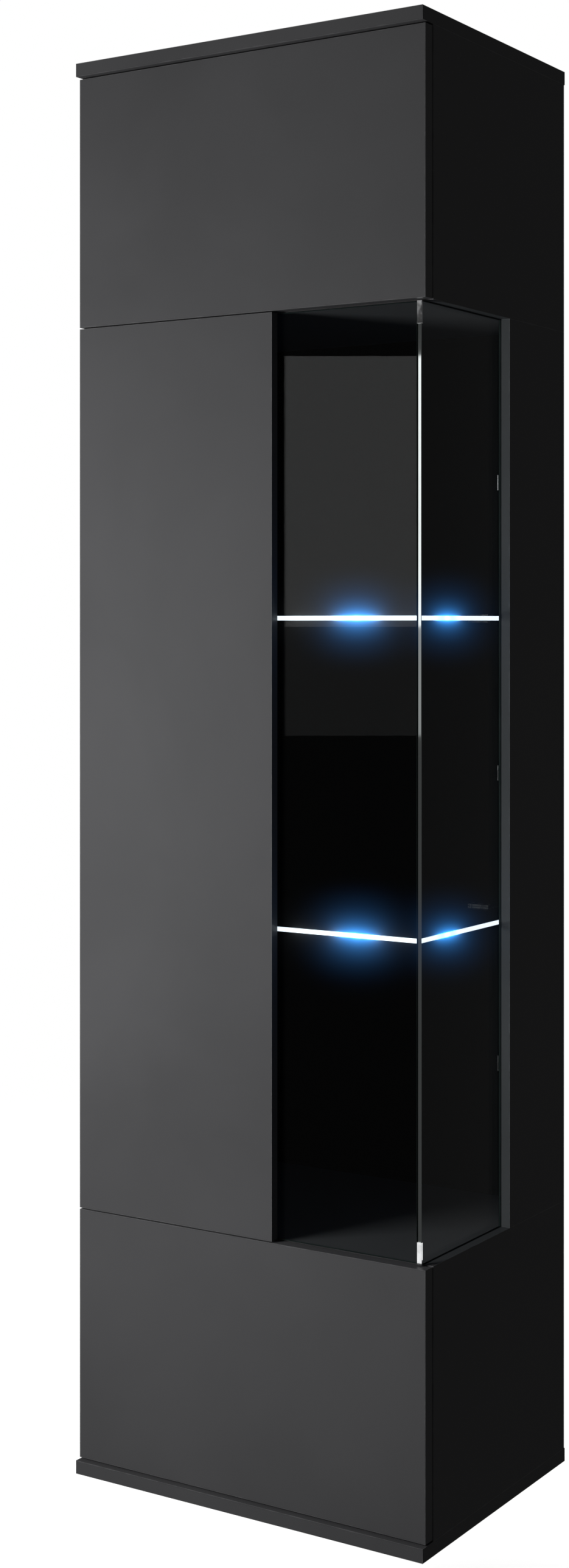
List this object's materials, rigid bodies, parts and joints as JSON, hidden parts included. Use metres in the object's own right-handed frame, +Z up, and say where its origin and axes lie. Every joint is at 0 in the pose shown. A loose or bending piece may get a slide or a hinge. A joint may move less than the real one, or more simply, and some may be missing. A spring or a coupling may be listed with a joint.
{
  "type": "hanging wall cabinet",
  "caption": "Tall wall-hung display cabinet: closed boxes above and below a glazed corner bay with lit glass shelves, push-to-open doors hinged on the left.",
  "frame": {"origin": "middle of the wall rail's screw line, on the wall", "axes": "+X to the viewer's right, +Y into the wall, +Z up; the doors face -Y"},
  "size_m": [0.45, 0.335, 1.6],
  "materials": {
    "carcass_board": "particle board in matte graphite foil",
    "door_front": "matte graphite foil",
    "back_board": "thin fibreboard, black lacquer",
    "clear_glass": "clear toughened, polished edges",
    "shelf_glass": "clear toughened, satin lit edges",
    "bright_steel": "polished",
    "hinge_steel": "nickel-plated pressed steel",
    "galvanised_steel": "galvanised",
    "zinc": "zinc-plated",
    "white_plastic": "fine moulded",
    "clear_plastic": "clear moulded",
    "dark_plastic": "fine moulded",
    "light_lens": "frosted",
    "silicone": "clear silicone",
    "beech": "fluted beech"
  },
  "bodies": {
    "carcass": {"top_plate": "carcass_board", "bottom_plate": "carcass_board", "left_side_board": "carcass_board", "upper_right_side_board": "carcass_board", "rear_post": "carcass_board", "lower_right_side_board": "carcass_board", "upper_box_floor": "carcass_board", "lower_box_top": "carcass_board", "back_board": "back_board", "cams": "zinc", "cam_bolts": "zinc", "dowels": "beech", "wall_rail": "galvanised_steel", "hanger_housings": "white_plastic", "hanger_hooks": "galvanised_steel", "hanger_screws": "zinc", "side_pane": "clear_glass", "side_pane_clips": "bright_steel", "side_pane_clip_screws": "bright_steel", "corner_caps": "bright_steel", "lower_glass_shelf": "shelf_glass", "upper_glass_shelf": "shelf_glass", "shelf_pins": "bright_steel", "light_clips": "clear_plastic", "light_lenses": "light_lens", "light_driver": "dark_plastic", "hinge_plates": "hinge_steel", "hinge_arms": "hinge_steel", "hinge_screws": "zinc", "latch_housings": "dark_plastic", "door_bumpers": "silicone"},
    "upper_door": {"upper_door": "door_front", "upper_hinge_cups": "hinge_steel", "upper_strike_plate": "zinc"},
    "display_door": {"display_door_panel": "door_front", "display_door_pane": "clear_glass", "pane_retainers": "clear_plastic", "pane_retainer_screws": "zinc", "display_hinge_cups": "hinge_steel", "display_strike_plate": "zinc"},
    "lower_door": {"lower_door": "door_front", "lower_hinge_cups": "hinge_steel", "lower_strike_plate": "zinc"},
    "upper_inner_links": {"upper_inner_links": "hinge_steel"},
    "upper_outer_links": {"upper_outer_links": "hinge_steel"},
    "upper_plunger": {"upper_plunger": "white_plastic"},
    "display_inner_links": {"display_inner_links": "hinge_steel"},
    "display_outer_links": {"display_outer_links": "hinge_steel"},
    "display_plunger": {"display_plunger": "white_plastic"},
    "lower_inner_links": {"lower_inner_links": "hinge_steel"},
    "lower_outer_links": {"lower_outer_links": "hinge_steel"},
    "lower_plunger": {"lower_plunger": "white_plastic"}
  },
  "joints": [
    {"name": "upper_door_hinge", "type": "hinge", "parent": "carcass", "child": "upper_door", "pos_m": [-0.221, -0.3225, -0.09], "axis": [0, 0, -1], "range_deg": [0, 95]},
    {"name": "upper_inner_link_pivot", "type": "hinge", "parent": "carcass", "child": "upper_inner_links", "pos_m": [-0.2005, -0.3065, -0.09], "axis": [0, 0, -1], "range_deg": [0, 24]},
    {"name": "upper_outer_link_pivot", "type": "hinge", "parent": "upper_door", "child": "upper_outer_links", "pos_m": [-0.2005, -0.316, -0.09], "axis": [0, 0, 1], "range_deg": [0, 73]},
    {"name": "upper_plunger_slide", "type": "slide", "parent": "carcass", "child": "upper_plunger", "axis": [0, 1, 0], "range_m": [0, 0.004], "stiffness_N_per_m": 300, "springref_m": -0.02},
    {"name": "display_door_hinge", "type": "hinge", "parent": "carcass", "child": "display_door", "pos_m": [-0.221, -0.3225, -0.73], "axis": [0, 0, -1], "range_deg": [0, 95]},
    {"name": "display_inner_link_pivot", "type": "hinge", "parent": "carcass", "child": "display_inner_links", "pos_m": [-0.2005, -0.3065, -0.73], "axis": [0, 0, -1], "range_deg": [0, 24]},
    {"name": "display_outer_link_pivot", "type": "hinge", "parent": "display_door", "child": "display_outer_links", "pos_m": [-0.2005, -0.316, -0.73], "axis": [0, 0, 1], "range_deg": [0, 73]},
    {"name": "display_plunger_slide", "type": "slide", "parent": "carcass", "child": "display_plunger", "axis": [0, 1, 0], "range_m": [0, 0.004], "stiffness_N_per_m": 300, "springref_m": -0.02},
    {"name": "lower_door_hinge", "type": "hinge", "parent": "carcass", "child": "lower_door", "pos_m": [-0.221, -0.3225, -1.372], "axis": [0, 0, -1], "range_deg": [0, 95]},
    {"name": "lower_inner_link_pivot", "type": "hinge", "parent": "carcass", "child": "lower_inner_links", "pos_m": [-0.2005, -0.3065, -1.372], "axis": [0, 0, -1], "range_deg": [0, 24]},
    {"name": "lower_outer_link_pivot", "type": "hinge", "parent": "lower_door", "child": "lower_outer_links", "pos_m": [-0.2005, -0.316, -1.372], "axis": [0, 0, 1], "range_deg": [0, 73]},
    {"name": "lower_plunger_slide", "type": "slide", "parent": "carcass", "child": "lower_plunger", "axis": [0, 1, 0], "range_m": [0, 0.004], "stiffness_N_per_m": 300, "springref_m": -0.02}
  ],
  "couplings": [
    {"joint": "upper_inner_link_pivot", "follows": "upper_door_hinge", "ratio": 0.2434},
    {"joint": "upper_outer_link_pivot", "follows": "upper_door_hinge", "ratio": 0.7566},
    {"joint": "display_inner_link_pivot", "follows": "display_door_hinge", "ratio": 0.2434},
    {"joint": "display_outer_link_pivot", "follows": "display_door_hinge", "ratio": 0.7566},
    {"joint": "lower_inner_link_pivot", "follows": "lower_door_hinge", "ratio": 0.2434},
    {"joint": "lower_outer_link_pivot", "follows": "lower_door_hinge", "ratio": 0.7566}
  ]
}
